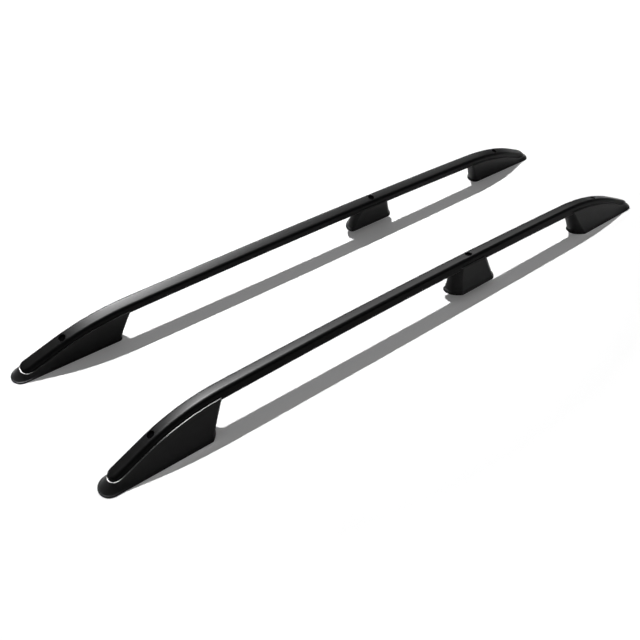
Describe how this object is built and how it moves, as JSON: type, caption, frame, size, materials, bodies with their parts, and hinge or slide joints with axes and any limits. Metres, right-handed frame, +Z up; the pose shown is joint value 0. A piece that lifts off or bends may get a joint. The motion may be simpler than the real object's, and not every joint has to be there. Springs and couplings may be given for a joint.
{
  "type": "pair of roof rails",
  "caption": "Mirrored pair of black roof rails for a car: bent tubes with round ends on moulded feet, with recessed plugs and dark gaskets underneath.",
  "frame": {"origin": "middle of the pair in plan, on the surface that the end feet stand on", "axes": "+X runs along the rails from front nose to rear tip, +Y from the left rail to the right rail, +Z up"},
  "size_m": [1.794, 0.4316, 0.1152],
  "materials": {
    "bar_paint": "satin black paint on aluminium tube",
    "foot_plastic": "fine-grained black moulded plastic",
    "gasket_rubber": "matt dark grey rubber",
    "plug_plastic": "matt black moulded plastic",
    "insert_brass": "plain turned brass",
    "fixing_steel": "zinc-plated steel"
  },
  "bodies": {
    "root": {"left_bar": "bar_paint", "left_front_foot": "foot_plastic", "left_middle_foot": "foot_plastic", "left_rear_foot": "foot_plastic", "left_front_gasket": "gasket_rubber", "left_middle_gasket": "gasket_rubber", "left_rear_gasket": "gasket_rubber", "left_front_plug": "plug_plastic", "left_middle_plug": "plug_plastic", "left_rear_plug": "plug_plastic", "left_front_roof_insert": "insert_brass", "left_middle_roof_insert": "insert_brass", "left_rear_roof_insert": "insert_brass", "left_clamp_screws": "fixing_steel", "left_washers": "fixing_steel", "left_nut_inserts": "insert_brass", "right_bar": "bar_paint", "right_front_foot": "foot_plastic", "right_middle_foot": "foot_plastic", "right_rear_foot": "foot_plastic", "right_front_gasket": "gasket_rubber", "right_middle_gasket": "gasket_rubber", "right_rear_gasket": "gasket_rubber", "right_front_plug": "plug_plastic", "right_middle_plug": "plug_plastic", "right_rear_plug": "plug_plastic", "right_front_roof_insert": "insert_brass", "right_middle_roof_insert": "insert_brass", "right_rear_roof_insert": "insert_brass", "right_clamp_screws": "fixing_steel", "right_washers": "fixing_steel", "right_nut_inserts": "insert_brass"}
  },
  "joints": []
}
